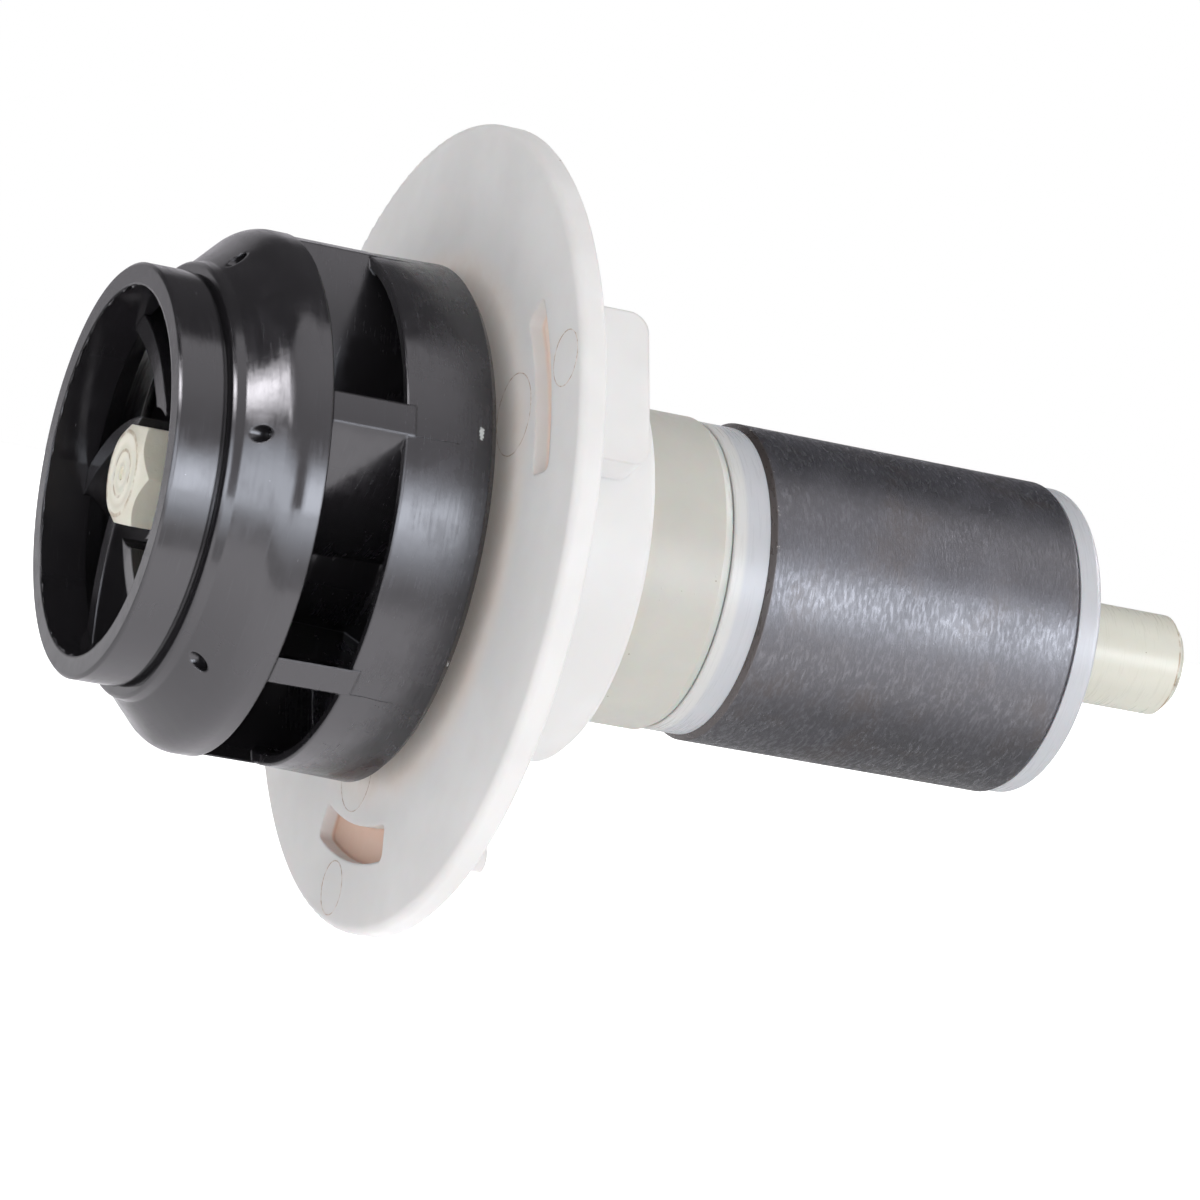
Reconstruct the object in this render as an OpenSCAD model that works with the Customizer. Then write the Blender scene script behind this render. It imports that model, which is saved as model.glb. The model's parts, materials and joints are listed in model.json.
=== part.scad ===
// Rotating unit of a canned-motor pond and wave pump: closed impeller, bearing plate, magnet rotor and shaft.
// Units are millimetres. The shaft runs along X, with the impeller eye facing -X and the shaft tail at +X.
// The origin is on the shaft axis, on the rear face of the bearing plate. Angles run from +Y to +Z.

/* [Impeller] */
// Diameter over the two shrouds of the impeller
impeller_d = 59; // [58:0.25:60]
// Diameter of the inlet eye
eye_d = 41.6; // [40.6:0.2:42]
// Wall thickness of the inlet neck
neck_wall = 2.5; // [2.2:0.1:2.8]
// Width of the water outlet between the two shrouds
outlet_gap = 8.6; // [7:0.2:10]
// Number of vanes
vane_count = 6; // [4:1:7]
// Thickness of a vane
vane_t = 2.4; // [1.8:0.1:2.8]
// Turn of a vane about the shaft, from its tip in to its root
vane_wrap = 65; // [58:1:70]
// Radius of the arc that a vane follows
vane_arc_r = 25.8; // [25:0.2:32]

/* [Bearing plate] */
// Diameter of the bearing plate
plate_d = 92.4; // [88:0.2:98]
// Thickness of the bearing plate
plate_t = 3; // [2.6:0.1:3.4]
// Diameter of the boss behind the plate
boss_d = 47.6; // [46:0.2:50]
// Length of the boss behind the plate
boss_l = 16.4; // [15:0.2:18]
// Number of kidney-shaped pockets in the front face of the plate
pocket_count = 3; // [2:1:4]
// Angle that each kidney pocket spans from end to end
pocket_span = 32; // [20:1:40]
// Depth of a kidney pocket, which leaves a thin floor
pocket_depth = 1.8; // [1:0.1:2.2]

/* [Rotor] */
// Diameter of the magnet
magnet_d = 37; // [36.6:0.1:38]
// Length of the magnet
magnet_l = 39.7; // [30:0.1:50]
// Diameter of the ceramic shaft
shaft_d = 12; // [11:0.2:12.4]
// Length of shaft that stands out behind the rotor
tail_l = 18.3; // [14:0.1:24]
// Size of the shaft nut across its flats
nut_af = 11; // [10:0.2:12]

/* [Start-up drive] */
// Free turn of the impeller on the shaft, each way from the middle
lost_motion = 54; // [40:1:58]

/* [Hidden] */
$fn = 96;

// How far a cutting shape reaches past the faces that it cuts.
past = 1;
// Running clearance on radius, the gap between pieces that only face each other, and a broken edge.
running_gap = 0.05;
face_gap = 0.1;
edge = 0.3;

// Inlet neck and front shroud. Stations along the shaft are named x_*, from the eye backwards.
impeller_r = impeller_d / 2;
eye_r = eye_d / 2;
neck_r = eye_r + neck_wall;
ring_r = neck_r + 1.2;
ring_taper = 0.3;
shroud_wall = 1.9;
shroud_in_r = impeller_r - shroud_wall;
cup_depth = 10.6;
x_cup_rear = -5.2;
x_cup_front = x_cup_rear - cup_depth;
x_shroud_rear = x_cup_front - outlet_gap;
x_shoulder = x_shroud_rear - 1.8;
x_ring_rear = x_shroud_rear - 8;
x_ring_front = x_ring_rear - 1.5;
x_groove = x_ring_front - 0.7;
x_eye = x_shroud_rear - 15.3;
groove_depth = 0.6;

// Inside of the front shroud as [radius, station] points, from the eye to the outlet.
shroud_inside = [
    [eye_r, x_eye],
    [eye_r, x_groove + 0.4],
    [eye_r + 1.5, x_ring_rear + 0.4],
    [impeller_r - 4.3, x_shroud_rear - 4.4],
    [shroud_in_r, x_shroud_rear - 2.4],
    [shroud_in_r, x_shroud_rear]
];

// Shoulder of the shroud: a 45 degree flank rises from the ring and runs into a round that meets the rim.
shoulder_r = 4;
shoulder_centre = [impeller_r - shoulder_r, x_shoulder];
flank_top = shoulder_centre + shoulder_r * [1, -1] / sqrt(2);
flank_foot_r = ring_r + 0.1;
function x_flank(r) = flank_top[1] - flank_top[0] + r;

// Vanes: each follows one arc, from its tip in to a root that stands clear of the nut and washer.
vane_pitch = 360 / vane_count;
vane_tip_r = impeller_r - 0.2;
vane_root_r = 7.9;
vane_tip_angle = 36.3;
x_vane_front = x_groove - 0.4;
vane_tip = [vane_tip_r, 0];
vane_root = vane_root_r * [cos(vane_wrap), sin(vane_wrap)];
vane_mid = (vane_tip + vane_root) / 2;
vane_chord = vane_tip - vane_root;
vane_rise = sqrt(vane_arc_r * vane_arc_r - vane_chord * vane_chord / 4);
vane_centre = vane_mid + vane_rise * [vane_chord[1], -vane_chord[0]] / norm(vane_chord);

// A peg on each vane stands in a hole in the front shroud and ends a little under the flank.
peg_r = 0.85;
peg_hole_r = 0.95;
peg_circle_r = impeller_r - 3.4;
peg_angle = 7.5;
x_peg_end = x_flank(peg_circle_r) + 1.2;

// Hub of the impeller, with the chamber for the start-up drive.
floor_t = 3;
cup_draft = 0.3;
cup_edge = 0.8;
cup_lip = 0.5;
dog_l = 12;
hub_nose_l = 9;
x_cup_floor = x_cup_rear - floor_t;
x_chamber_rear = x_cup_rear - 3.8;
x_chamber_front = x_chamber_rear - dog_l;
x_hub_front = x_chamber_front - hub_nose_l;
hub_r = 9;
hub_base_r = 13.6;
hub_cover_r = hub_base_r - 1;
hub_bush_r = 6;
chamber_r = 10.8;
x_hub_cover_rear = x_cup_rear - 2;

// Start-up drive: two lobes on the shaft's dog strike rubber buffers on two stops of the hub.
lobe_half_angle = 17;
buffer_angle = 7;
stop_half_angle = 90 - lobe_half_angle - lost_motion - buffer_angle;
dog_core_r = 7;
dog_lobe_r = chamber_r - 0.5;
stop_tip_r = dog_core_r + 0.4;
buffer_tip_r = stop_tip_r + 0.3;
flat_half = 3.2;

// Shaft: a stub of smaller diameter carries the impeller in front of a shoulder, and the rotor is pressed
// on a seat a little larger than the two bearing journals.
shaft_r = shaft_d / 2;
seat_r = shaft_r + 0.5;
stub_r = 4;
x_stub_front = x_hub_front - 5;
x_shaft_shoulder = x_cup_rear - 1.2;
tail_chamfer = 1;
nut_l = 6.6;
nut_washer_t = 0.9;
x_nut_rear = x_hub_front - face_gap - nut_washer_t;
x_nut_front = x_nut_rear - nut_l;
nut_washer_r = 7.5;
nut_corner_r = nut_af / sqrt(3);
nut_chamfer = 1.1;
nut_face_r = nut_corner_r - 1.5;
nut_dimple_r = 0.8;

// Bearing plate.
plate_r = plate_d / 2;
rim_round = 0.9;
boss_r = boss_d / 2;
boss_chamfer = 0.6;
boss_foot = 1.2;
sleeve_r = 18.2;
plate_bore_r = 8;
x_sleeve_front = 2.5;
pocket_in_r = 34.1;
pocket_out_r = 38.3;
pocket_round = 0.9;
first_pocket = 30;
pocket_arc_steps = 10;
key_angle = 153;
key_face = boss_r + 4.4;
key_low = -1.4;
key_high = 17.2;
key_l = 13.4;
key_round = 2.3;
key_root = boss_r - 10;
nub_angles = [230, 310];
nub_r = 1.6;
nub_h = 1.6;
nub_circle_r = plate_r - nub_r - 1;

// Soft bearing sleeve and what it holds.
x_sleeve_rear = 28.7;
sleeve_chamfer = 0.55;
bush_r = 10;
x_bush_front = 8;
x_bush_rear = 23.4;
shaft_pass_r = shaft_r + 1;
thrust_pocket_r = 12;
x_cushion_rear = x_bush_rear + 1.2;
thrust_r = thrust_pocket_r - 0.4;
thrust_bore_r = shaft_r + 0.4;
x_thrust_front = x_cushion_rear + face_gap;
x_thrust_rear = x_sleeve_rear - 0.5;
tab_w = 3;
tab_r = 13.2;
tab_gap = 0.2;

// Magnet rotor.
magnet_r = magnet_d / 2;
magnet_chamfer = 0.6;
collar_r = magnet_r - 0.6;
collar_l = 4.45;
x_collar_front = x_sleeve_rear + 0.15;
x_magnet_front = x_collar_front + collar_l;
x_magnet_rear = x_magnet_front + magnet_l;
cap_r = magnet_r - 0.35;
cap_t = 3;
cap_round = 1;
x_cap_rear = x_magnet_rear + cap_t;
x_tail = x_cap_rear + tail_l;
core_r = 10;
core_overhang = 1.5;
x_core_front = x_magnet_front - core_overhang;
x_core_rear = x_magnet_rear + core_overhang;
runner_r = 11.4;
runner_t = 1.6;
x_runner_front = x_thrust_rear + running_gap;
x_runner_rear = x_runner_front + runner_t;

// Colours.
black_plastic = [0.07, 0.07, 0.08];
grey_plastic = [0.34, 0.35, 0.37];
white_plastic = [0.92, 0.92, 0.92];
blue_white = [0.8, 0.81, 0.84];
cream = [0.86, 0.84, 0.77];
ivory = [0.91, 0.89, 0.81];
ferrite = [0.16, 0.16, 0.18];
rubber_black = [0.05, 0.05, 0.05];
ceramic_white = [0.95, 0.94, 0.9];
carbon = [0.22, 0.22, 0.23];

// Turns a shape built on local Z so that Z lies along the shaft, and local angles run from +Y to +Z.
module along_shaft() {
    rotate([90, 0, 90]) children();
}

// A solid of revolution about the shaft, from a profile of [radius, station] points.
module turned(profile) {
    along_shaft() rotate_extrude() polygon(profile);
}

// A disc or rod on the shaft between two stations.
module rod(r, x0, x1) {
    along_shaft() translate([0, 0, x0]) cylinder(r = r, h = x1 - x0);
}

// A ring on the shaft between two stations.
module ring(r_in, r_out, x0, x1) {
    difference() {
        rod(r_out, x0, x1);
        rod(r_in, x0 - past, x1 + past);
    }
}

// A flat wedge about the shaft, from angle a0 to a1, for cutting sectors under a half turn.
module wedge(a0, a1, r) {
    reach = r / cos((a1 - a0) / 2);
    polygon([[0, 0], reach * [cos(a0), sin(a0)], reach * [cos(a1), sin(a1)]]);
}

// A sector of a ring between two stations.
module ring_sector(r_in, r_out, a0, a1, x0, x1) {
    along_shaft() translate([0, 0, x0]) linear_extrude(x1 - x0) intersection() {
        difference() {
            circle(r = r_out);
            circle(r = r_in);
        }
        wedge(a0, a1, r_out + past);
    }
}

// A flat bar across the shaft between two stations, as wide as the stub, for cutting the stub's flats.
module stub_bar(z0, z1, x0, x1) {
    translate([x0, -stub_r, z0])
        cube([x1 - x0, 2 * stub_r, z1 - z0]);
}

// One vane's outline across the shaft: a band along its arc.
module vane_outline() {
    intersection() {
        translate(vane_centre) difference() {
            circle(r = vane_arc_r + vane_t / 2);
            circle(r = vane_arc_r - vane_t / 2);
        }
        wedge(-8, vane_wrap + 22, impeller_r + past);
    }
}

// The space that the vanes fill: under the front shroud, across the outlet and down into the cup.
module vane_space() {
    under_shroud = [for (i = [1 : len(shroud_inside) - 1]) shroud_inside[i] - [running_gap, 0]];
    turned(concat(
        [[vane_root_r, x_vane_front], [eye_r - running_gap, x_vane_front]],
        under_shroud,
        [
            [shroud_in_r - running_gap, x_shroud_rear + running_gap],
            [vane_tip_r, x_shroud_rear + running_gap],
            [vane_tip_r, x_cup_front + 1],
            [vane_root_r, x_cup_front + 1]
        ]
    ));
    ring(vane_root_r, impeller_r - 1, x_cup_front, x_cup_floor + floor_t / 2);
}

// All vanes with the pegs that locate the front shroud.
module vanes() {
    for (i = [0 : vane_count - 1])
        rotate([vane_tip_angle + i * vane_pitch, 0, 0]) {
            intersection() {
                along_shaft() translate([0, 0, x_vane_front - past])
                    linear_extrude(x_cup_rear - x_vane_front) vane_outline();
                vane_space();
            }
            rotate([peg_angle, 0, 0]) translate([0, peg_circle_r, 0]) rod(peg_r, x_peg_end, x_shroud_rear);
        }
}

// Half section of the shoulder: the flank, the round, and the body behind them.
module shoulder_section() {
    translate(shoulder_centre) intersection() {
        circle(r = shoulder_r);
        translate([0, -shoulder_r]) square([shoulder_r, shoulder_r]);
    }
    polygon([
        [0, x_flank(flank_foot_r)], [flank_foot_r, x_flank(flank_foot_r)],
        flank_top, shoulder_centre, [0, x_shoulder]
    ]);
}

// Front shroud: inlet neck, groove, ring and rounded shoulder, with a hole for each vane's peg.
module front_shroud() {
    groove_r = neck_r - groove_depth;
    groove_side = 0.15;
    color(black_plastic) difference() {
        along_shaft() rotate_extrude() difference() {
            union() {
                polygon([
                    [0, x_eye], [neck_r - edge, x_eye], [neck_r, x_eye + edge],
                    [neck_r, x_groove], [groove_r, x_groove + groove_side],
                    [groove_r, x_ring_front - groove_side], [ring_r - edge, x_ring_front],
                    [ring_r, x_ring_front + edge], [ring_r + ring_taper, x_ring_rear], [0, x_ring_rear]
                ]);
                shoulder_section();
                polygon([
                    [0, x_shoulder], [impeller_r, x_shoulder], [impeller_r, x_shroud_rear - edge / 2],
                    [impeller_r - edge / 2, x_shroud_rear], [0, x_shroud_rear]
                ]);
            }
            polygon(concat(
                [[0, x_eye - past], [eye_r, x_eye - past]],
                shroud_inside,
                [[shroud_in_r, x_shroud_rear + past], [0, x_shroud_rear + past]]
            ));
        }
        for (i = [0 : vane_count - 1])
            rotate([vane_tip_angle + i * vane_pitch + peg_angle, 0, 0]) translate([0, peg_circle_r, 0])
                rod(peg_hole_r, x_eye, x_shroud_rear - 1);
    }
}

// Solid of the cup, its floor and the hub, before the drive chamber is cut out.
module cup_and_hub() {
    turned([
        [0, x_hub_front], [hub_r - edge, x_hub_front], [hub_r, x_hub_front + edge],
        [hub_r + 0.8, x_chamber_front - 2], [hub_base_r - 0.8, x_chamber_front],
        [hub_base_r, x_chamber_front + 3], [hub_base_r + 0.4, x_chamber_rear - 1.6],
        [hub_base_r + 2.4, x_cup_floor - 0.4], [shroud_in_r - 3, x_cup_floor],
        [shroud_in_r - cup_edge, x_cup_floor - cup_edge], [shroud_in_r, x_cup_floor - 3],
        [shroud_in_r, x_cup_front + cup_lip], [shroud_in_r + cup_lip, x_cup_front],
        [impeller_r - cup_draft - edge / 2, x_cup_front], [impeller_r - cup_draft, x_cup_front + edge / 2],
        [impeller_r, x_cup_rear - cup_edge], [impeller_r - cup_edge, x_cup_rear], [0, x_cup_rear]
    ]);
}

// Impeller body: rear shroud as a shallow cup, vanes, and the hub with its drive chamber and stops.
module impeller_body() {
    color(black_plastic) difference() {
        union() {
            cup_and_hub();
            vanes();
        }
        rod(hub_bush_r, x_hub_front - past, x_chamber_front + past);
        rod(chamber_r, x_chamber_front, x_cup_rear + past);
        rod(hub_cover_r, x_chamber_rear, x_cup_rear + past);
    }
    color(black_plastic) for (side = [0, 180])
        rotate([side + vane_tip_angle, 0, 0])
            ring_sector(stop_tip_r, chamber_r + edge, 90 - stop_half_angle, 90 + stop_half_angle,
                x_chamber_front - edge, x_chamber_rear);
}

// Rubber buffers on both sides of each stop in the drive chamber.
module stop_buffers() {
    color(rubber_black) for (side = [0, 180], flank = [-1, 1]) {
        near = 90 + flank * stop_half_angle;
        far = near + flank * buffer_angle;
        rotate([side + vane_tip_angle, 0, 0])
            ring_sector(buffer_tip_r, chamber_r, min(near, far), max(near, far),
                x_chamber_front, x_chamber_rear);
    }
}

// Plain bush that lets the impeller's hub turn on the stub.
module hub_bush() {
    color(ivory) ring(stub_r + running_gap, hub_bush_r, x_hub_front, x_chamber_front);
}

// Cover that closes the drive chamber from behind.
module hub_cover() {
    color(black_plastic) ring(stub_r + running_gap, hub_cover_r, x_chamber_rear, x_hub_cover_rear);
}

// Ceramic shaft: flatted stub for the dog and nut, front journal, seat for the rotor, and tail journal.
module shaft() {
    color(ivory) {
        turned([
            [0, x_shaft_shoulder], [shaft_r - edge, x_shaft_shoulder], [shaft_r, x_shaft_shoulder + edge],
            [shaft_r, x_runner_front], [seat_r, x_runner_front], [seat_r, x_cap_rear],
            [shaft_r, x_cap_rear], [shaft_r, x_tail - tail_chamfer],
            [shaft_r - tail_chamfer, x_tail], [0, x_tail]
        ]);
        difference() {
            rod(stub_r, x_stub_front, x_shaft_shoulder);
            for (flip = [0, 180])
                rotate([flip + vane_tip_angle, 0, 0])
                    stub_bar(flat_half, stub_r + past, x_stub_front - past, x_chamber_rear);
        }
    }
}

// Hexagonal shaft nut with turned chamfers at both ends, a blind bore on the stub and a centre dimple.
module shaft_nut() {
    color(ivory) difference() {
        intersection() {
            along_shaft() translate([0, 0, x_nut_front]) cylinder(r = nut_corner_r, h = nut_l, $fn = 6);
            turned([
                [0, x_nut_front], [nut_face_r, x_nut_front],
                [nut_corner_r + edge, x_nut_front + nut_chamfer + edge],
                [nut_corner_r + edge, x_nut_rear - edge],
                [nut_corner_r - edge, x_nut_rear], [0, x_nut_rear]
            ]);
        }
        rod(stub_r, x_stub_front - face_gap, x_nut_rear + past);
        rod(nut_dimple_r, x_nut_front - past, x_nut_front + edge);
    }
}

// Washer under the nut, which keeps the impeller on the stub.
module nut_washer() {
    color(grey_plastic) ring(stub_r, nut_washer_r, x_nut_rear, x_nut_rear + nut_washer_t);
}

// Low-friction washer between the hub cover and the shaft's shoulder.
module shoulder_washer() {
    color(ceramic_white) ring(stub_r + running_gap, hub_r, x_hub_cover_rear + face_gap, x_shaft_shoulder);
}

// Dog on the stub's flats: two lobes that push the impeller round through its buffers.
module drive_dog() {
    x_front = x_chamber_front + face_gap;
    x_rear = x_chamber_rear - face_gap;
    color(grey_plastic) difference() {
        union() {
            rod(dog_core_r, x_front, x_rear);
            for (side = [0, 180])
                rotate([side + vane_tip_angle, 0, 0])
                    ring_sector(dog_core_r - past, dog_lobe_r, -lobe_half_angle, lobe_half_angle,
                        x_front, x_rear);
        }
        intersection() {
            rod(stub_r, x_front - past, x_rear + past);
            rotate([vane_tip_angle, 0, 0]) stub_bar(-flat_half, flat_half, x_front - past, x_rear + past);
        }
    }
}

// Ferrite ring magnet with ground outside and bevelled edges.
module magnet() {
    color(ferrite) turned([
        [core_r, x_magnet_front], [magnet_r - magnet_chamfer, x_magnet_front],
        [magnet_r, x_magnet_front + magnet_chamfer], [magnet_r, x_magnet_rear - magnet_chamfer],
        [magnet_r - magnet_chamfer, x_magnet_rear], [core_r, x_magnet_rear]
    ]);
}

// Plastic core tube that carries the magnet on the shaft.
module magnet_core() {
    color(blue_white) ring(seat_r, core_r, x_core_front, x_core_rear);
}

// White collar in front of the magnet, with a pocket for the runner washer.
module front_collar() {
    color(blue_white) turned([
        [core_r, x_magnet_front], [core_r, x_core_front], [runner_r, x_core_front],
        [runner_r, x_collar_front], [collar_r - edge / 2, x_collar_front],
        [collar_r, x_collar_front + edge / 2], [collar_r, x_magnet_front]
    ]);
}

// White cap behind the magnet, with a rounded outer edge.
module rear_end_cap() {
    color(blue_white) difference() {
        along_shaft() rotate_extrude() {
            translate([0, x_magnet_rear]) square([cap_r, cap_t - cap_round]);
            translate([0, x_magnet_rear]) square([cap_r - cap_round, cap_t]);
            translate([cap_r - cap_round, x_cap_rear - cap_round]) circle(r = cap_round);
        }
        rod(seat_r, x_magnet_rear - past, x_cap_rear + past);
        rod(core_r, x_magnet_rear - past, x_core_rear);
    }
}

// Ceramic washer on the rotor that runs against the thrust ring.
module runner_washer() {
    color(ceramic_white) ring(seat_r, runner_r, x_runner_front, x_runner_rear);
}

// Rubber seat that lets the runner washer bed in squarely.
module runner_cushion() {
    color(rubber_black) ring(seat_r, runner_r, x_runner_rear, x_core_front);
}

// Carbon thrust ring: tabs keep it from turning while it floats along the shaft.
module thrust_ring() {
    color(carbon) difference() {
        union() {
            rod(thrust_r, x_thrust_front, x_thrust_rear);
            for (turn = [0, 90])
                rotate([turn, 0, 0]) translate([x_thrust_front, -tab_r, -tab_w / 2])
                    cube([x_thrust_rear - x_thrust_front, 2 * tab_r, tab_w]);
        }
        rod(thrust_bore_r, x_thrust_front - past, x_thrust_rear + past);
    }
}

// Rubber ring that takes the thrust at the end of the float.
module thrust_cushion() {
    color(rubber_black) ring(shaft_pass_r, thrust_pocket_r, x_bush_rear, x_cushion_rear);
}

// Points along one arc of a pocket's outline, from angle a0 up to but not including angle a1.
function pocket_arc(centre, r, a0, a1) = [
    for (i = [0 : pocket_arc_steps - 1])
        let (a = a0 + (a1 - a0) * i / pocket_arc_steps) centre + r * [cos(a), sin(a)]
];

// Angle from the middle of a pocket to the centre of a round corner at radius r.
function corner_angle(r) = pocket_span / 2 - asin(pocket_round / r);

// Points round one corner of a pocket, from angle a0 through a quarter turn.
function pocket_corner(r, angle, a0) =
    pocket_arc(r * [cos(angle), sin(angle)], pocket_round, angle + a0, angle + a0 + 90);

// One kidney pocket in the front face: a ring sector with round corners.
module kidney_pocket() {
    outer_r = pocket_out_r - pocket_round;
    inner_r = pocket_in_r + pocket_round;
    outer = corner_angle(outer_r);
    inner = corner_angle(inner_r);
    along_shaft() translate([0, 0, -plate_t - past]) linear_extrude(pocket_depth + past)
        polygon(concat(
            pocket_arc([0, 0], pocket_out_r, -outer, outer),
            pocket_corner(outer_r, outer, 0),
            pocket_corner(inner_r, inner, 90),
            pocket_arc([0, 0], pocket_in_r, inner, -inner),
            pocket_corner(inner_r, -inner, 180),
            pocket_corner(outer_r, -outer, 270)
        ));
}

// Key on the boss: a block with a flat outer face and round rear corners, set to one side of the shaft.
// It lets the plate into its casing one way round only.
module plate_key() {
    foot = past / 2;
    rotate([key_angle - 90, 0, 0]) translate([0, 0, key_root]) linear_extrude(key_face - key_root) {
        translate([-foot, key_low]) square([key_l + foot - key_round, key_high - key_low]);
        translate([-foot, key_low + key_round]) square([key_l + foot, key_high - key_low - 2 * key_round]);
        for (side = [key_low + key_round, key_high - key_round])
            translate([key_l - key_round, side]) circle(r = key_round);
    }
}

// Half section of the plate and boss: rounded front rim, broken rear edge, and a foot under the boss.
module plate_section() {
    polygon([
        [0, -plate_t], [plate_r - rim_round, -plate_t], [plate_r - rim_round, rim_round - plate_t],
        [plate_r, rim_round - plate_t], [plate_r, -edge], [plate_r - edge, 0],
        [boss_r + boss_foot, 0], [boss_r, boss_foot], [boss_r, boss_l - boss_chamfer],
        [boss_r - boss_chamfer, boss_l], [0, boss_l]
    ]);
    translate([plate_r - rim_round, rim_round - plate_t]) circle(r = rim_round);
}

// Bearing plate: disc with boss, key, kidney pockets and two small seating nubs.
module bearing_plate() {
    color(white_plastic) difference() {
        union() {
            along_shaft() rotate_extrude() plate_section();
            plate_key();
            for (angle = nub_angles)
                rotate([angle, 0, 0]) translate([0, nub_circle_r, 0]) rod(nub_r, -past, nub_h);
        }
        rod(plate_bore_r, -plate_t - past, boss_l + past);
        rod(sleeve_r, x_sleeve_front, boss_l + past);
        for (i = [0 : pocket_count - 1])
            rotate([first_pocket + i * 360 / pocket_count, 0, 0]) kidney_pocket();
    }
}

// Soft translucent sleeve, pressed into the boss, that carries the bush and the thrust ring.
module bearing_sleeve() {
    color(cream) difference() {
        turned([
            [shaft_pass_r, x_sleeve_front], [sleeve_r, x_sleeve_front],
            [sleeve_r, x_sleeve_rear - 2 * sleeve_chamfer], [sleeve_r - sleeve_chamfer, x_sleeve_rear],
            [thrust_pocket_r, x_sleeve_rear], [thrust_pocket_r, x_bush_rear],
            [bush_r, x_bush_rear], [bush_r, x_bush_front], [shaft_pass_r, x_bush_front]
        ]);
        for (turn = [0, 90])
            rotate([turn, 0, 0])
                translate([x_cushion_rear, -tab_r - 2 * tab_gap, -tab_w / 2 - tab_gap])
                    cube([x_sleeve_rear, 2 * tab_r + 4 * tab_gap, tab_w + 2 * tab_gap]);
    }
}

// Ceramic bush in which the shaft turns.
module bearing_bush() {
    color(ceramic_white) ring(shaft_r + running_gap, bush_r, x_bush_front, x_bush_rear);
}

front_shroud();
impeller_body();
hub_bush();
hub_cover();
stop_buffers();
shaft();
shaft_nut();
nut_washer();
drive_dog();
shoulder_washer();
magnet();
magnet_core();
front_collar();
rear_end_cap();
runner_washer();
runner_cushion();
thrust_ring();
thrust_cushion();
bearing_plate();
bearing_sleeve();
bearing_bush();
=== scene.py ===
"""Looks of a pump's rotating unit: studio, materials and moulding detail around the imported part.

Everything is in metres, in the part's own frame: the shaft runs along X, the impeller eye faces -X and +Z is
up. Angles about the shaft run from +Y to +Z. Inside the materials, lengths are in millimetres.
"""

import json
import math

import bpy
from mathutils import Matrix, Vector, noise


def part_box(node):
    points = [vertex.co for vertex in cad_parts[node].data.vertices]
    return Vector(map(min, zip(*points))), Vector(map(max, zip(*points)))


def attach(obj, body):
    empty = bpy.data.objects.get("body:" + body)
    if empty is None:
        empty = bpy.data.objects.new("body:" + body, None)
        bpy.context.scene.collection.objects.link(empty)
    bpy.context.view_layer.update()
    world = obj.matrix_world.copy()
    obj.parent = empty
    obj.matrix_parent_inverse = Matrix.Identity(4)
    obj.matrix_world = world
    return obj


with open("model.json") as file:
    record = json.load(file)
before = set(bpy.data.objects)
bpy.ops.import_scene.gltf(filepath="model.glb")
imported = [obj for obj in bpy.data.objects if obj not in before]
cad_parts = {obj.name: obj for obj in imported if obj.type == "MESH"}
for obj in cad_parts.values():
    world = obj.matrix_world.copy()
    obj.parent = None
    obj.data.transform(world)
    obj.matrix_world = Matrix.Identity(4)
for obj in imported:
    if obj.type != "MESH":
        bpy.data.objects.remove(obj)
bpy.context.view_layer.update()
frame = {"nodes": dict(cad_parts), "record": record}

MM = 0.001
NODES = frame["nodes"]


# ---- Measures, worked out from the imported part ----

def front(node):
    """Station along the shaft of a node's front end."""
    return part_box(node)[0].x


def rear(node):
    """Station along the shaft of a node's rear end."""
    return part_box(node)[1].x


def radius(node):
    """Outer radius of a node that is round about the shaft, from its extent across the shaft."""
    low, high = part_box(node)
    return (high.y - low.y) / 2


def about_shaft(point):
    """(station, radius, angle) of a point, the angle in radians."""
    return point.x, math.hypot(point.y, point.z), math.atan2(point.z, point.y)


def on_shaft(station, from_shaft, angle):
    """The point with the given station, radius and angle in radians."""
    return Vector((station, from_shaft * math.cos(angle), from_shaft * math.sin(angle)))


def eye_radius():
    """Radius of the inlet eye, from the front edge of the shroud."""
    edge = [about_shaft(v.co) for v in NODES["front_shroud"].data.vertices]
    return min(r for station, r, _ in edge if station < X_EYE + 0.01 * MM)


def tail_radius():
    """Radius of the shaft's tail, which is slimmer than the seat inside the rotor."""
    corners = [about_shaft(v.co) for v in NODES["shaft"].data.vertices]
    return max(r for station, r, _ in corners if station > X_TAIL - 5 * MM)


def vane_tip_edges():
    """Angles of the two edges of each vane's tip, in order round the shaft, and the cup's front station."""
    corners = [about_shaft(v.co) for v in NODES["impeller_body"].data.vertices]
    outer = [(station, angle) for station, r, angle in corners if r > IMPELLER_R - 0.4 * MM]
    edges = sorted(angle for station, angle in outer if abs(station - X_SHROUD_REAR) < 0.2 * MM)
    return edges, min(station for station, _ in outer if station > X_SHROUD_REAR + MM)


def pocket_floor():
    """Station, inner radius and outer radius of the floor of the kidney pockets in the plate's front face."""
    corners = [about_shaft(v.co) for v in NODES["bearing_plate"].data.vertices]
    inside = [(x, r) for x, r, _ in corners if X_PLATE + 0.5 * MM < x < -0.5 * MM and r < 0.9 * PLATE_R]
    return inside[0][0], min(r for _, r in inside), max(r for _, r in inside)


X_EYE = front("front_shroud")
X_SHROUD_REAR = rear("front_shroud")
X_CUP_REAR = rear("impeller_body")
X_PLATE = front("bearing_plate")
X_COLLAR = front("front_collar")
X_MAGNET = front("magnet")
X_NUT = front("shaft_nut")
X_TAIL = rear("shaft")
PLATE_R = radius("bearing_plate")
IMPELLER_R = radius("front_shroud")
EYE_R = eye_radius()
TAIL_R = tail_radius()
FLOOR_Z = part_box("bearing_plate")[0].z

# The floor of the kidney pockets, in millimetres for the materials.
X_POCKET, POCKET_IN_R, POCKET_OUT_R = (length / MM for length in pocket_floor())


# ---- Node graphs ----

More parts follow.
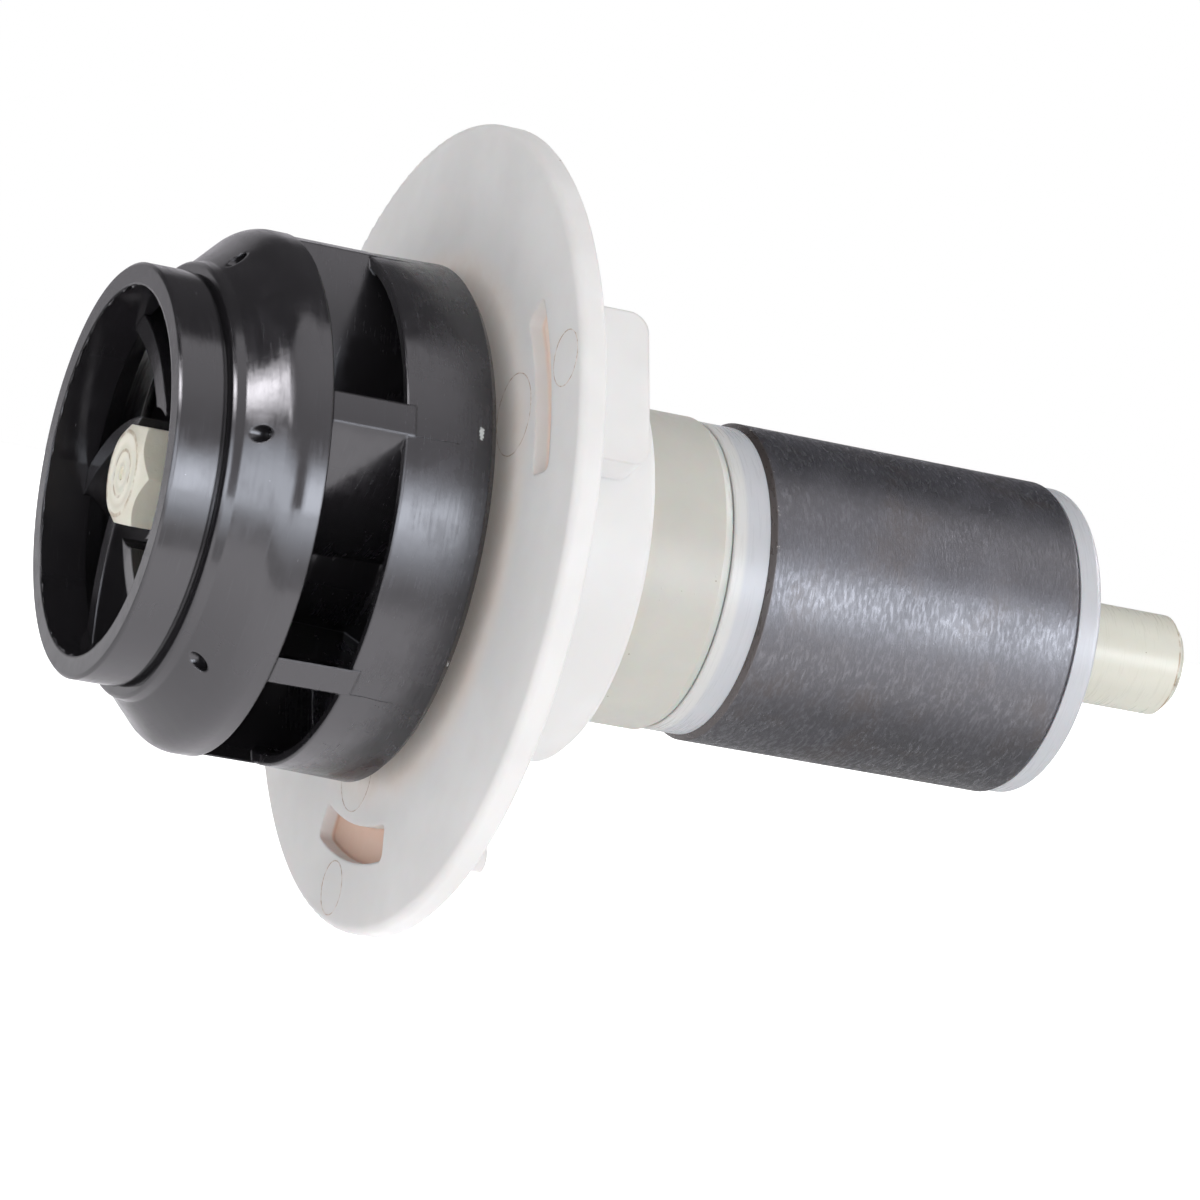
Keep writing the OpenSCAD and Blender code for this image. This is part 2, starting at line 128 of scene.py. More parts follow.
class Graph:
    """A node tree with short ways to add nodes and join them up. Lengths inside it are in millimetres."""

    def __init__(self, tree):
        self.tree = tree

    def put(self, socket, value):
        """Links an output to the socket, or sets the socket's own value."""
        if isinstance(value, bpy.types.NodeSocket):
            self.tree.links.new(value, socket)
        elif isinstance(value, tuple) and len(value) == 3 and socket.type == "RGBA":
            socket.default_value = (*value, 1.0)
        else:
            socket.default_value = value

    def add(self, kind, inputs=None, **settings):
        """Adds a shader node; inputs are given by name or number."""
        made = self.tree.nodes.new("ShaderNode" + kind)
        for name, value in settings.items():
            setattr(made, name, value)
        for key, value in (inputs or {}).items():
            self.put(made.inputs[key], value)
        return made

    def math(self, operation, a, b=0.0):
        return self.add("Math", {0: a, 1: b}, operation=operation).outputs[0]

    def times(self, *factors):
        """Product of all the factors."""
        product = factors[0]
        for factor in factors[1:]:
            product = self.math("MULTIPLY", product, factor)
        return product

    def plus(self, *terms):
        """Sum of all the terms."""
        total = terms[0]
        for term in terms[1:]:
            total = self.math("ADD", total, term)
        return total

    def mix(self, share, a, b):
        """Colour between a (share 0) and b (share 1)."""
        made = self.add("Mix", data_type="RGBA")
        self.put(made.inputs["Factor"], share)
        self.put(made.inputs[6], a)
        self.put(made.inputs[7], b)
        return made.outputs[2]

    def blend(self, share, a, b):
        """Number between a (share 0) and b (share 1)."""
        return self.add("Mix", {0: share, 2: a, 3: b}, data_type="FLOAT").outputs[0]

    def map(self, value, low, high, to_low=0.0, to_high=1.0):
        """Value carried from one range to another, clamped, with a smooth change."""
        made = self.add(
            "MapRange",
            {"Value": value, "From Min": low, "From Max": high, "To Min": to_low, "To Max": to_high},
            interpolation_type="SMOOTHSTEP",
        )
        return made.outputs["Result"]

    def band(self, value, middle, half_width):
        """1 at the middle of a band, falling to 0 at its sides."""
        off = self.math("ABSOLUTE", self.math("SUBTRACT", value, middle))
        return self.map(off, half_width, half_width * 0.4)

    def place(self):
        """The point being shaded, in the part's frame, in millimetres."""
        point = self.add("TexCoord").outputs["Object"]
        return self.add("VectorMath", {0: point, 1: (1 / MM,) * 3}, operation="MULTIPLY").outputs[0]

    def stretched(self, point, along, across):
        """The point scaled along and across the shaft; a small scale draws noise out in that direction."""
        return self.add("VectorMath", {0: point, 1: (along, across, across)}, operation="MULTIPLY").outputs[0]

    def noise(self, point, scale=1.0, detail=3.0, roughness=0.55):
        inputs = {"Vector": point, "Scale": scale, "Detail": detail, "Roughness": roughness}
        return self.add("TexNoise", inputs).outputs["Fac"]

    def circling(self, point, fine, coarse):
        """Noise drawn out round the shaft, as turning, grinding and rubbing leave it."""
        return self.noise(self.stretched(point, fine, coarse), detail=4.0)

    def flecks(self, point, size, share):
        """1 inside marks scattered at random, 0 outside. Only the given share of the cells has a mark."""
        cells = self.add("TexVoronoi", {"Vector": point, "Scale": 1.0, "Randomness": 1.0})
        mark = self.map(cells.outputs["Distance"], size, size * 0.6)
        pick = self.add("SeparateColor", {0: cells.outputs["Color"]}).outputs[0]
        return self.times(mark, self.math("GREATER_THAN", pick, 1 - share))

    def spot(self, point, station, from_shaft, angle, half_along, half_across):
        """1 inside one oval mark on a round face. Station and radius are in metres, the angle in degrees."""
        centre = on_shaft(station, from_shaft, math.radians(angle)) / MM
        off = self.add("VectorMath", {0: point, 1: tuple(centre)}, operation="SUBTRACT").outputs[0]
        scaled = self.stretched(off, 1 / half_along, 1 / half_across)
        length = self.add("VectorMath", {0: scaled}, operation="LENGTH").outputs["Value"]
        ragged = self.plus(length, self.map(self.noise(point, 3.0), 0.3, 0.7, -0.3, 0.3))
        return self.map(ragged, 1.0, 0.7)

    def about_shaft(self, point):
        """(station, radius) of the point, in millimetres."""
        parts = self.add("SeparateXYZ", {0: point}).outputs
        squares = self.plus(self.math("POWER", parts[1], 2.0), self.math("POWER", parts[2], 2.0))
        return parts[0], self.math("SQRT", squares)


def material(name, base, roughness, bump=None, bump_height=0.02, soft_edge=0.2, **principled):
    """A Principled material. Its looks are functions of (graph, point) or plain values."""
    made = bpy.data.materials.new(name)
    made.use_nodes = True
    graph = Graph(made.node_tree)
    shader = made.node_tree.nodes["Principled BSDF"]
    point = graph.place()
    for key, look in {"Base_Color": base, "Roughness": roughness, **principled}.items():
        graph.put(shader.inputs[key.replace("_", " ")], look(graph, point) if callable(look) else look)
    normal = graph.add("Bevel", {"Radius": soft_edge * MM}, samples=4).outputs[0]
    if bump:
        relief = {"Height": bump(graph, point), "Distance": bump_height * MM, "Strength": 1.0}
        normal = graph.add("Bump", {**relief, "Normal": normal}).outputs[0]
    graph.put(shader.inputs["Normal"], normal)
    return made


# ---- Materials ----

def black_plastic():
    """Moulded black plastic: glossy at the neck, satin at the cup, with rubbed bands, scratches and nicks."""
    def scratches(graph, point):
        return graph.flecks(graph.stretched(point, 2.4, 0.35), 0.08, 0.04)

    def base(graph, point):
        rubbed = graph.map(graph.circling(point, 3.0, 0.2), 0.60, 0.85)
        slanted = graph.flecks(graph.stretched(point, 0.5, 1.1), 0.06, 0.03)
        nick = graph.spot(point, X_CUP_REAR - 2 * MM, IMPELLER_R, 156.5, 0.3, 0.8)
        chip = graph.spot(point, X_CUP_REAR - 0.3 * MM, IMPELLER_R, 207.6, 0.3, 0.6)
        dark = graph.mix(rubbed, (0.016, 0.015, 0.017), (0.026, 0.025, 0.028))
        scratched = graph.math("MAXIMUM", scratches(graph, point), slanted)
        worn = graph.mix(graph.times(scratched, 0.5), dark, (0.24, 0.24, 0.26))
        return graph.mix(graph.math("MAXIMUM", nick, chip), worn, (0.48, 0.50, 0.50))

    def roughness(graph, point):
        station, _ = graph.about_shaft(point)
        rubbed = graph.map(graph.circling(point, 3.0, 0.2), 0.35, 0.75, 0.13, 0.21)
        satin = graph.map(station, X_SHROUD_REAR / MM, X_CUP_REAR / MM, 0.0, 0.10)
        cloud = graph.map(graph.noise(point, 0.25, 5.0, 0.65), 0.40, 0.66, -0.03, 0.07)
        return graph.plus(rubbed, satin, cloud)

    def bump(graph, point):
        orange_peel = graph.noise(point, 0.5, 2.0)
        rubbing = graph.times(graph.circling(point, 3.0, 0.25), 0.25)
        return graph.plus(orange_peel, rubbing, scratches(graph, point))

    return material("black_plastic", base, roughness, bump, 0.012, 0.35, Specular_IOR_Level=0.5)


def white_plastic():
    """White moulding, with painted brown shade round the impeller's rim and a painted warm glow at the pocket
    floors.
    """
    rim_r = IMPELLER_R / MM
    face = X_PLATE / MM

    def on_front_face(graph, station):
        return graph.map(station, face + 1.2, face + 0.1)

    def base(graph, point):
        station, from_shaft = graph.about_shaft(point)
        height = graph.add("SeparateXYZ", {0: point}).outputs[2]
        # Painted shade: a patchy brown band on the front face round the impeller's rim stands in for the
        # shade and warm reflection that fall there.
        patchy = graph.map(graph.noise(point, 0.12, 4.0), 0.35, 0.65, 0.45, 1.0)
        near_rim = graph.map(from_shaft, rim_r + 4.0, rim_r - 0.5)
        brown_patch = graph.times(on_front_face(graph, station), near_rim, patchy)
        in_pocket = graph.times(
            graph.map(station, X_POCKET - 0.5, X_POCKET - 0.05),
            graph.map(station, X_POCKET + 0.5, X_POCKET + 0.3),
            graph.map(from_shaft, POCKET_OUT_R + 0.3, POCKET_OUT_R + 0.1),
            graph.map(from_shaft, POCKET_IN_R - 0.3, POCKET_IN_R - 0.1),
        )
        cloud = graph.map(graph.noise(point, 0.06), 0.35, 0.65)
        clean = graph.mix(cloud, (0.725, 0.718, 0.712), (0.775, 0.77, 0.765))
        # The painted brown rim shade is mixed in here.
        rim_shaded = graph.mix(graph.times(brown_patch, 0.6), clean, (0.60, 0.49, 0.42))
        # Painted light: the pocket floors are painted a warm peach glow, as if light shone through their thin
        # floor, paler towards the top.
        glow = graph.mix(graph.map(height, -20, 5), (0.70, 0.50, 0.40), (0.84, 0.72, 0.64))
        glowing = graph.mix(in_pocket, rim_shaded, glow)
        speck = graph.flecks(graph.stretched(point, 0.25, 0.25), 0.04, 0.15)
        return graph.mix(graph.times(speck, 0.7), glowing, (0.34, 0.24, 0.17))

    def roughness(graph, point):
        return graph.map(graph.noise(point, 0.5), 0.3, 0.7, 0.42, 0.55)

    def bump(graph, point):
        fine = graph.noise(point, 1.6, 4.0)
        scratch = graph.flecks(graph.stretched(point, 0.8, 0.3), 0.05, 0.15)
        return graph.plus(fine, scratch)

    def painted_rim_glow(graph, point):
        """Painted glow: faint warm emission on the front face near the impeller's rim, lightening the shade
        there.
        """
        station, from_shaft = graph.about_shaft(point)
        near_rim = graph.map(from_shaft, rim_r + 4.0, rim_r)
        return graph.times(on_front_face(graph, station), near_rim, 0.09)

    return material(
        "white_plastic", base, roughness, bump, 0.008, 0.5,
        # The painted warm glow near the impeller's rim.
        Emission_Color=(1.0, 0.91, 0.84), Emission_Strength=painted_rim_glow,
        Subsurface_Weight=0.15, Subsurface_Scale=2 * MM, Specular_IOR_Level=0.2,
    )


def ejector_plastic():
    """Rim of an ejector mark: the same white with brown dirt settled in it."""
    def base(graph, point):
        dirt = graph.map(graph.noise(point, 1.2, 4.0, 0.7), 0.40, 0.62)
        return graph.mix(dirt, (0.72, 0.66, 0.62), (0.42, 0.30, 0.22))

    def bump(graph, point):
        return graph.noise(point, 3.0, 3.0)

    return material("ejector_plastic", base, 0.5, bump, 0.02, 0.05)


def blue_white_plastic():
    """Glossy blue-white plastic of the rotor's end pieces, whiter at the front of the collar."""
    def base(graph, point):
        station, _ = graph.about_shaft(point)
        lip = graph.map(station, X_COLLAR / MM + 1.9, X_COLLAR / MM + 1.2)
        body = graph.mix(graph.noise(point, 0.2), (0.475, 0.485, 0.515), (0.53, 0.54, 0.565))
        speck = graph.flecks(graph.stretched(point, 0.5, 0.5), 0.05, 0.15)
        clean = graph.mix(lip, body, (0.60, 0.60, 0.59))
        return graph.mix(graph.times(speck, 0.6), clean, (0.30, 0.28, 0.25))

    def roughness(graph, point):
        return graph.map(graph.circling(point, 4.0, 0.2), 0.3, 0.7, 0.24, 0.38)

    def bump(graph, point):
        return graph.circling(point, 2.0, 0.2)

    return material(
        "blue_white_plastic", base, roughness, bump, 0.002,
        Subsurface_Weight=0.15, Subsurface_Scale=MM, Specular_IOR_Level=0.3,
    )


def silicone():
    """Translucent cream silicone with bubbles and dark specks, creamier near the boss."""
    def base(graph, point):
        station, _ = graph.about_shaft(point)
        near_boss = graph.map(station, 20.0, 16.5)
        cloud = graph.mix(graph.noise(point, 0.15), (0.50, 0.495, 0.46), (0.57, 0.56, 0.515))
        cream = graph.mix(near_boss, cloud, (0.62, 0.58, 0.49))
        speck = graph.flecks(graph.stretched(point, 0.55, 0.55), 0.07, 0.35)
        return graph.mix(graph.times(speck, 0.8), cream, (0.26, 0.23, 0.17))

    def roughness(graph, point):
        return graph.map(graph.noise(point, 0.7), 0.3, 0.7, 0.32, 0.48)

    def bump(graph, point):
        return graph.plus(graph.noise(point, 0.8), graph.flecks(point, 0.14, 0.2))

    return material(
        "silicone", base, roughness, bump, 0.02,
        Subsurface_Weight=0.6, Subsurface_Scale=3 * MM, Specular_IOR_Level=0.25,
    )


def ground_ferrite():
    """Ground ferrite: short grinding marks round the shaft, brown patches and a dirty chipped front bevel."""
    front_mm = X_MAGNET / MM

    def base(graph, point):
        station, _ = graph.about_shaft(point)
        streak = graph.map(graph.circling(point, 2.8, 0.8), 0.46, 0.66)
        grain = graph.map(graph.noise(point, 1.6, 5.0, 0.8), 0.48, 0.70)
        light = graph.plus(graph.times(streak, 0.6), graph.times(grain, 0.4))
        patch = graph.map(graph.noise(point, 0.13, 4.0, 0.6), 0.50, 0.68)
        dark = graph.mix(patch, (0.014, 0.014, 0.017), (0.018, 0.014, 0.013))
        ground = graph.mix(light, dark, (0.090, 0.090, 0.102))
        bevel = graph.map(station, front_mm + 0.75, front_mm + 0.55)
        edged = graph.mix(bevel, ground, (0.032, 0.024, 0.021))
        near_edge = graph.band(station, front_mm + 0.7, 0.25)
        chip = graph.times(near_edge, graph.map(graph.noise(point, 0.8, 5.0, 0.8), 0.60, 0.66))
        pit = graph.flecks(graph.stretched(point, 0.7, 0.7), 0.10, 0.10)
        chipped = graph.mix(chip, edged, (0.45, 0.43, 0.40))
        return graph.mix(graph.times(pit, 0.7), chipped, (0.012, 0.010, 0.010))

    def roughness(graph, point):
        streak = graph.map(graph.circling(point, 2.8, 0.8), 0.35, 0.7, 0.42, 0.22)
        cloud = graph.map(graph.noise(point, 0.15), 0.35, 0.7, -0.03, 0.08)
        return graph.plus(streak, cloud)

    def bump(graph, point):
        return graph.noise(graph.stretched(point, 2.8, 0.8), detail=5.0, roughness=0.75)

    return material("ground_ferrite", base, roughness, bump, 0.05, Metallic=0.1, Specular_IOR_Level=0.75)


def ivory_ceramic():
    """Polished ivory ceramic with fine rings, and a brown line and a stain at the tail."""
    def base(graph, point):
        station, _ = graph.about_shaft(point)
        cloud = graph.mix(graph.noise(point, 0.25), (0.62, 0.61, 0.53), (0.67, 0.66, 0.59))
        line = graph.times(
            graph.band(station, X_TAIL / MM - 1.1, 0.14),
            graph.map(graph.noise(point, 0.6, 4.0), 0.38, 0.62),
        )
        brown_patch = graph.spot(point, X_TAIL - 0.6 * MM, TAIL_R, 197, 0.5, 0.9)
        speck = graph.flecks(graph.stretched(point, 0.8, 0.8), 0.07, 0.15)
        marked = graph.mix(graph.times(line, 0.7), cloud, (0.30, 0.19, 0.09))
        return graph.mix(graph.times(graph.math("MAXIMUM", brown_patch, speck), 0.75), marked, (0.22, 0.16, 0.10))

    def roughness(graph, point):
        return graph.map(graph.circling(point, 5.0, 0.3), 0.3, 0.7, 0.26, 0.34)

    def bump(graph, point):
        return graph.noise(point, 0.5, 2.0)

    return material(
        "ivory_ceramic", base, roughness, bump, 0.002,
        Subsurface_Weight=0.15, Subsurface_Scale=MM, Specular_IOR_Level=0.3,
    )


def ivory_polymer():
    """Ivory polymer of the nut, with brown rings on its front face."""
    def base(graph, point):
        station, from_shaft = graph.about_shaft(point)
        cloud = graph.mix(graph.noise(point, 0.5), (0.76, 0.73, 0.61), (0.84, 0.82, 0.72))
        rings = graph.math("MAXIMUM", graph.band(from_shaft, 4.7, 0.3), graph.band(from_shaft, 2.6, 0.25))
        on_face = graph.map(station, X_NUT / MM + 0.9, X_NUT / MM + 0.3)
        patchy = graph.map(graph.noise(point, 0.7, 4.0), 0.35, 0.6)
        grime = graph.noise(graph.stretched(point, 1.2, 2.5), detail=5.0, roughness=0.75)
        dirt = graph.map(grime, 0.62, 0.74)
        brown = graph.math("MAXIMUM", graph.times(rings, on_face, patchy), graph.times(dirt, 0.6))
        return graph.mix(graph.times(brown, 0.75), cloud, (0.36, 0.27, 0.17))

    def roughness(graph, point):
        return graph.map(graph.noise(point, 1.0), 0.3, 0.7, 0.34, 0.50)

    def bump(graph, point):
        _, from_shaft = graph.about_shaft(point)
        ring_pitch = 1.9
        turned = graph.math("SINE", graph.times(from_shaft, 2 * math.pi / ring_pitch))
        return graph.plus(graph.noise(point, 2.0, 4.0), graph.times(turned, 2.5))

    return material("ivory_polymer", base, roughness, bump, 0.03, Subsurface_Weight=0.15, Subsurface_Scale=MM)


def plain(name, dark, light, rough_low, rough_high, grain=1.5, height=0.02):
    """A plainer grained material, for pieces that are mostly out of sight."""
    def base(graph, point):
        return graph.mix(graph.noise(point, grain, 4.0, 0.7), dark, light)

    def roughness(graph, point):
        return graph.map(graph.noise(point, grain * 1.7), 0.3, 0.7, rough_low, rough_high)

    def bump(graph, point):
        return graph.noise(graph.stretched(point, 3.0, 1.0), grain, 4.0)

    return material(name, base, roughness, bump, height)


SLOT_MATERIALS = {
    "impeller_plastic": black_plastic(),
    "plate_plastic": white_plastic(),
    "rotor_plastic": blue_white_plastic(),
    "sleeve_silicone": silicone(),
    "ferrite": ground_ferrite(),
    "shaft_ceramic": ivory_ceramic(),
    "nut_polymer": ivory_polymer(),
    "bearing_ceramic": plain("bearing_ceramic", (0.70, 0.68, 0.62), (0.80, 0.78, 0.73), 0.2, 0.34),
    "bush_polymer": plain("bush_polymer", (0.66, 0.63, 0.54), (0.76, 0.73, 0.64), 0.35, 0.5),
    "washer_polymer": plain("washer_polymer", (0.10, 0.10, 0.11), (0.22, 0.22, 0.24), 0.4, 0.6),
    "black_rubber": plain("black_rubber", (0.012, 0.012, 0.012), (0.035, 0.035, 0.035), 0.55, 0.8),
    "carbon": plain("carbon", (0.03, 0.03, 0.032), (0.08, 0.08, 0.085), 0.3, 0.45),
}


def paint_cad_nodes():
    """Gives each CAD node the material of its slot in the record."""
    for part in frame["record"]["subparts"]:
        node = NODES[part["node"]]
        node.data.materials.clear()
        node.data.materials.append(SLOT_MATERIALS[part["material_slot"]])


# ---- Moulding detail, built as meshes ----

def piece(name, vertices, faces, body, slot, look):
    """Makes a mesh piece that moves with a body and takes the given look as its finish; the slot is not used.
    """
    mesh = bpy.data.meshes.new(name)
    mesh.from_pydata([tuple(v) for v in vertices], [], faces)
    mesh.validate()
    mesh.materials.append(look)
    made = bpy.data.objects.new(name, mesh)
    bpy.context.scene.collection.objects.link(made)
    for polygon in mesh.polygons:
        polygon.use_smooth = True
    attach(made, body)
    return made


def swept(sections, closed):
    """Vertices and faces of a skin over a row of equal sections, each a closed loop of points."""
    count = len(sections[0])
    vertices = [point for section in sections for point in section]
    faces = []
    spans = len(sections) if closed else len(sections) - 1
    for i in range(spans):
        here, there = i * count, (i + 1) % len(sections) * count
        for j in range(count):
            k = (j + 1) % count
            faces.append((here + j, there + j, there + k, here + k))
    if not closed:
        faces.append(tuple(range(count)))
        faces.append(tuple(reversed([(len(sections) - 1) * count + j for j in range(count)])))
    return vertices, faces


def joined(parts):
    """Vertices and faces of several meshes as one."""
    vertices, faces = [], []
    for part_vertices, part_faces in parts:
        offset = len(vertices)
        vertices.extend(part_vertices)
        faces.extend(tuple(offset + index for index in face) for face in part_faces)
    return vertices, faces


# Each ejector mark as (distance of its centre from the shaft, its own radius), and the angles of the pairs.
EJECTOR_MARKS = ((28.4 * MM, 4.6 * MM), (42 * MM, 3.1 * MM))
EJECTOR_ANGLES = (30, 149.5, 274.5)


def ejector_mark(angle, from_shaft, mark_r):
    """A fine raised ring on the plate's front face, left by an ejector pin."""
    half_width = 0.09 * MM
    height = 0.05 * MM
    root = Vector((0.05 * MM, 0, 0))
    centre = on_shaft(X_PLATE, from_shaft, math.radians(angle))
    sections = []
    steps = 72
    for i in range(steps):
        turn = 2 * math.pi * i / steps
        outward = Vector((0, math.cos(turn), math.sin(turn)))
        worn = 0.6 + 0.8 * noise.noise(outward * 2.3 + centre / MM)
        crest = Vector((-height * max(worn, 0.1), 0, 0))
        middle = centre + outward * mark_r
        sections.append([
            middle - outward * half_width + root,
            middle - outward * half_width * 0.5 + crest,
            middle + outward * half_width * 0.5 + crest,
            middle + outward * half_width + root,
        ])
    return swept(sections, closed=True)


def build_ejector_marks():
    """Two marks by each kidney pocket: a large one nearer the shaft and a small one nearer the rim."""
    look = ejector_plastic()
    for number, angle in enumerate(EJECTOR_ANGLES, 1):
        marks = joined([ejector_mark(angle, *mark) for mark in EJECTOR_MARKS])
        piece(f"ejector_marks_{number}", *marks, "plate", "plate_plastic", look)


def seam(angle, x0, x1):
    """A fine ridge along the cup, tapering out towards the rear."""
    half_angle = 0.10 * MM / IMPELLER_R
    sections = []
    steps = 16
    for i in range(steps + 1):
        share = i / steps
        station = x0 + (x1 - x0) * share
        swell = (1 - share * share) * (0.75 + 0.5 * noise.noise(Vector((station / MM, angle * 10, 0))))
        wander = 0.12 * MM / IMPELLER_R * noise.noise(Vector((station / MM * 0.5, angle * 10, 7)))
        surface_r = IMPELLER_R - 0.3 * MM * (X_CUP_REAR - station) / (X_CUP_REAR - x0)
        low_r, high_r = surface_r - 0.08 * MM, surface_r + 0.06 * MM * swell
        sections.append([
            on_shaft(station, low_r, angle + wander - half_angle),
            on_shaft(station, high_r, angle + wander - half_angle * 0.4),
            on_shaft(station, high_r, angle + wander + half_angle * 0.4),
            on_shaft(station, low_r, angle + wander + half_angle),
        ])
    return swept(sections, closed=False)


def build_cup_seams():
    """A seam on the cup behind each vane, in line with its edge, where the sliders of the mould met."""
    edges, x_cup_front = vane_tip_edges()
    following = edges[1:] + [edges[0] + 2 * math.pi]
    between_vanes = math.radians(15)
    last_of_vane = [here for here, there in zip(edges, following) if there - here > between_vanes]
    seams = joined([seam(angle, x_cup_front, x_cup_front + 6 * MM) for angle in last_of_vane])
    piece("cup_seams", *seams, "impeller", "impeller_plastic", SLOT_MATERIALS["impeller_plastic"])


def build_eye_flash():
    """Ragged mould flash round the inner edge of the eye."""
    x_front = X_EYE + 0.10 * MM
    x_rear = x_front + 0.12 * MM
    root_r = EYE_R + 0.05 * MM
    sections = []
    steps = 360
    for i in range(steps):
        angle = 2 * math.pi * i / steps
        ragged = noise.noise(Vector((math.cos(angle), math.sin(angle), 0)) * 14)
        tip_r = EYE_R - 0.02 * MM - max(0.0, ragged + 0.12) * 0.55 * MM
        curl = max(0, 0.12 * MM * noise.noise(Vector((math.cos(angle) * 9, math.sin(angle) * 9, 3))))
        sections.append([
            on_shaft(x_front, root_r, angle),
            on_shaft(x_front + curl, tip_r, angle),
            on_shaft(x_rear + curl, tip_r, angle),
            on_shaft(x_rear, root_r, angle),
        ])
    flash = swept(sections, closed=True)
    piece("eye_flash", *flash, "impeller", "impeller_plastic", SLOT_MATERIALS["impeller_plastic"])


# ---- Studio ----

# How bright each light looks in a glossy face, next to the white of the background at 1. TABLE_SOFT is the
# soft light that the table gives from below.
RIGHT_LAMP = 11.5
LEFT_LAMP = 8.0
EDGE_STRIP = 25.0
CEILING = 1.9
DARK_CEILING = 0.15
BACK_WALL = 0.5
TABLE_UNDER = 0.5
TABLE_NEAR = 2.8
TABLE_SOFT = 0.7
WHITE = (1.0, 1.0, 1.0)
WALL_TINT = (1.0, 0.97, 1.03)
LAMP_TINT = (0.91, 0.95, 1.06)


def table_reflected(graph):
    """Strength and colour of the table in a glossy face: shaded under the part, brighter further forward."""
    along, across, _ = graph.add("SeparateXYZ", {0: graph.add("TexCoord").outputs["Object"]}).outputs
    nearby = graph.map(across, 0.04, -0.06, TABLE_UNDER, TABLE_NEAR)
    forward = graph.map(across, -0.10, -0.40, 0.0, 4.2)
    beyond = graph.map(across, -0.40, -2.0, 0.0, 2.6)
    gap_across = graph.times(graph.map(across, -0.078, -0.085), graph.map(across, -0.17, -0.105))
    gap = graph.times(gap_across, graph.map(along, 0.09, 0.04))
    shade = graph.times(graph.map(across, -0.05, -0.02), graph.map(along, 0.02, 0.06))
    darker = graph.times(graph.blend(gap, 1.0, 0.5), graph.blend(shade, 1.0, 0.2))
    tint = graph.mix(graph.map(across, -0.10, -0.20), WALL_TINT, LAMP_TINT)
    return graph.times(graph.plus(nearby, forward, beyond), darker), tint


def build_floor():
    """A wide pale floor under the lowest point, pure white to the camera."""
    half = 3.0
    mesh = bpy.data.meshes.new("floor")
    corners = [(-half, -half, 0), (half, -half, 0), (half, half, 0), (-half, half, 0)]
    mesh.from_pydata(corners, [], [(0, 1, 2, 3)])
    floor = bpy.data.objects.new("floor", mesh)
    floor.location.z = FLOOR_Z - 0.2 * MM
    bpy.context.scene.collection.objects.link(floor)
    pale = bpy.data.materials.new("pale_floor")
    pale.use_nodes = True
    pale.cycles.emission_sampling = "NONE"
    graph = Graph(pale.node_tree)
    shader = pale.node_tree.nodes["Principled BSDF"]
    reflected, tint = table_reflected(graph)
    rays = graph.add("LightPath").outputs
    glossy, seen = rays["Is Glossy Ray"], rays["Is Camera Ray"]
    graph.put(shader.inputs["Base Color"], (0.5, 0.5, 0.5))
    graph.put(shader.inputs["Roughness"], 0.9)
    graph.put(shader.inputs["Emission Color"], graph.mix(glossy, WHITE, tint))
    strength = graph.blend(seen, graph.blend(glossy, TABLE_SOFT, reflected), 1.0)
    graph.put(shader.inputs["Emission Strength"], strength)
    mesh.materials.append(pale)


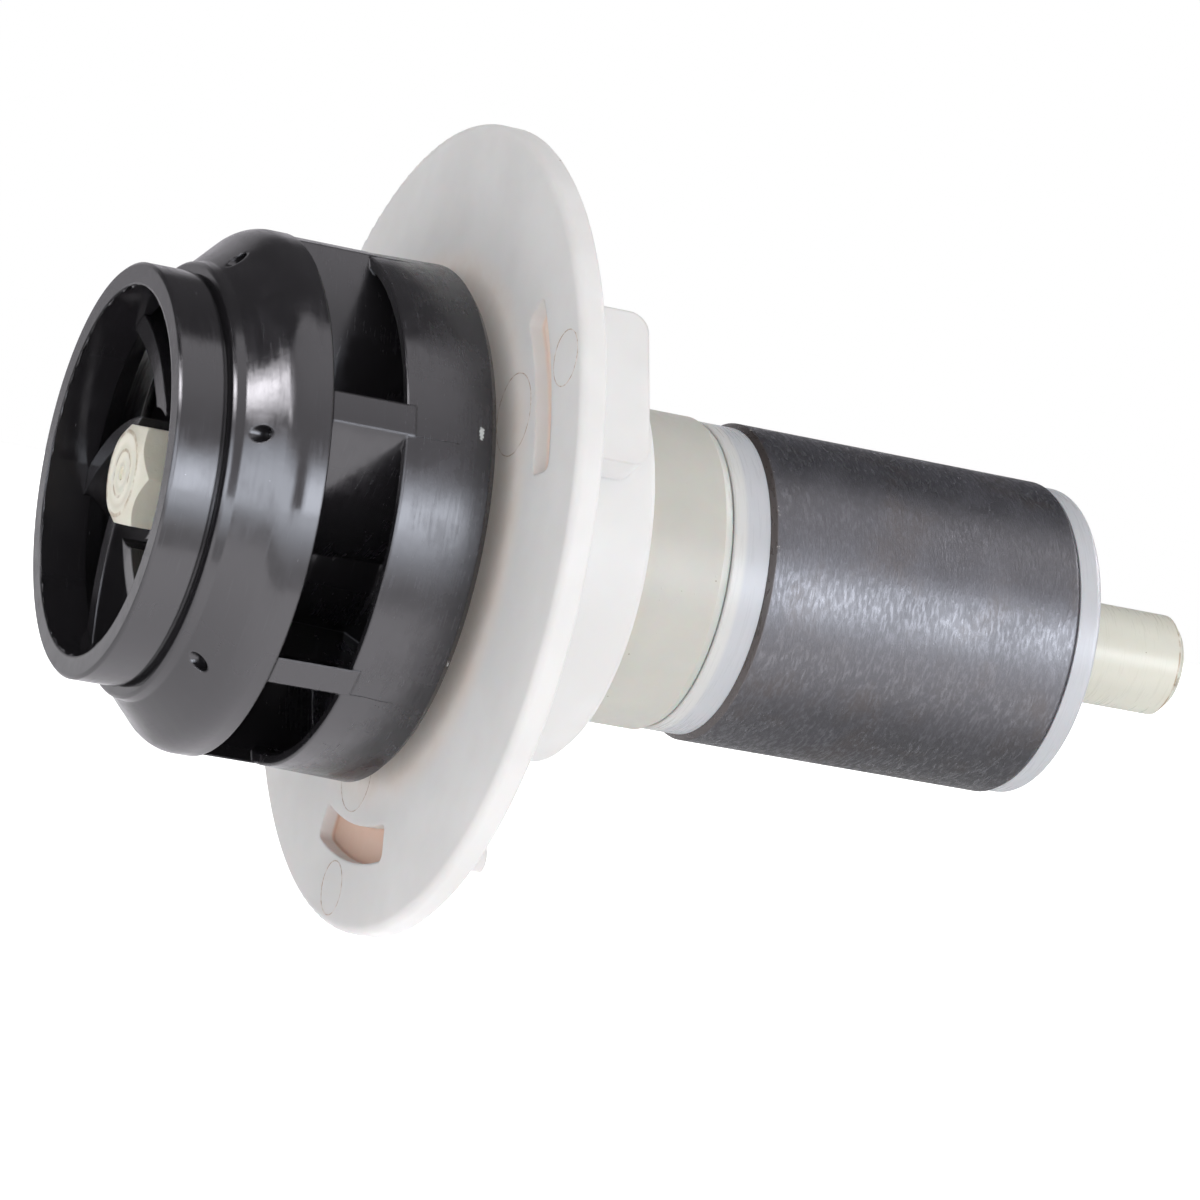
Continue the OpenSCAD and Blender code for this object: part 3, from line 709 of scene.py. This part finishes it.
def room_reflected(graph, sideways, backwards, upwards):
    """Strength and colour of the room as glossy faces see it, by the direction in which they look."""
    right_lamp = graph.map(sideways, -0.02, 0.22, 0.0, RIGHT_LAMP)
    left_lamp = graph.map(sideways, -0.35, -0.60, 0.0, LEFT_LAMP)
    in_front = graph.times(graph.map(upwards, 0.42, 0.12), graph.map(backwards, 0.05, -0.30))
    lamp = graph.times(graph.plus(right_lamp, left_lamp), in_front)
    to_the_side = graph.map(graph.math("ABSOLUTE", sideways), 0.78, 0.84, 0.0, EDGE_STRIP)
    strip = graph.times(to_the_side, graph.map(upwards, 0.40, 0.55))
    front_edge = graph.map(backwards, 0.0, -0.10, DARK_CEILING, CEILING)
    ceiling = graph.times(front_edge, graph.map(upwards, 0.55, 0.88, 0.72, 1.0))
    lit_wall = graph.map(backwards, 0.78, 0.92, 0.0, BACK_WALL)
    tint = graph.mix(graph.map(lamp, 0.0, 4.0), WALL_TINT, LAMP_TINT)
    return graph.plus(lamp, strip, ceiling, lit_wall), tint


def build_world():
    """A white room, lit softly from the front. Glossy faces see lamps, a ceiling and a wall in it."""
    world = bpy.data.worlds.new("studio")
    bpy.context.scene.world = world
    world.use_nodes = True
    world.cycles.sampling_method = "NONE"
    graph = Graph(world.node_tree)
    direction = graph.add("TexCoord").outputs["Generated"]
    sideways, backwards, upwards = graph.add("SeparateXYZ", {0: direction}).outputs
    reflected, tint = room_reflected(graph, sideways, backwards, upwards)
    from_front = graph.map(backwards, 0.3, -0.9, 0.62, 1.30)
    from_right = graph.map(sideways, -1.0, 0.3, 0.78, 1.0)
    soft = graph.times(from_front, from_right)
    rays = graph.add("LightPath").outputs
    glossy, seen = rays["Is Glossy Ray"], rays["Is Camera Ray"]
    background = world.node_tree.nodes["Background"]
    graph.put(background.inputs["Color"], graph.mix(glossy, WHITE, tint))
    graph.put(background.inputs["Strength"], graph.blend(seen, graph.blend(glossy, soft, reflected), 1.0))


def build_camera():
    """A long lens low down and to the front left, rolled so that the shaft falls to the right."""
    azimuth, elevation, roll = (math.radians(angle) for angle in (-22.73, 1.28, 10.87))
    aim = Vector((18.1, -7.7, -4.1)) * MM
    distance = 0.6355
    level_forward = Vector((-math.sin(azimuth), math.cos(azimuth), 0))
    forward = level_forward * math.cos(elevation) - Vector((0, 0, math.sin(elevation)))
    data = bpy.data.cameras.new("camera")
    data.lens = 169.2
    data.sensor_width = 36.0
    data.clip_start = 0.01
    camera = bpy.data.objects.new("camera", data)
    turned = forward.to_track_quat("-Z", "Y").to_matrix() @ Matrix.Rotation(roll, 3, "Z")
    camera.matrix_world = Matrix.Translation(aim - forward * distance) @ turned.to_4x4()
    bpy.context.scene.collection.objects.link(camera)
    bpy.context.scene.camera = camera


def build_studio():
    build_floor()
    build_world()
    build_camera()
    bpy.context.scene.view_settings.view_transform = "Standard"


paint_cad_nodes()
build_ejector_marks()
build_cup_seams()
build_eye_flash()
build_studio()
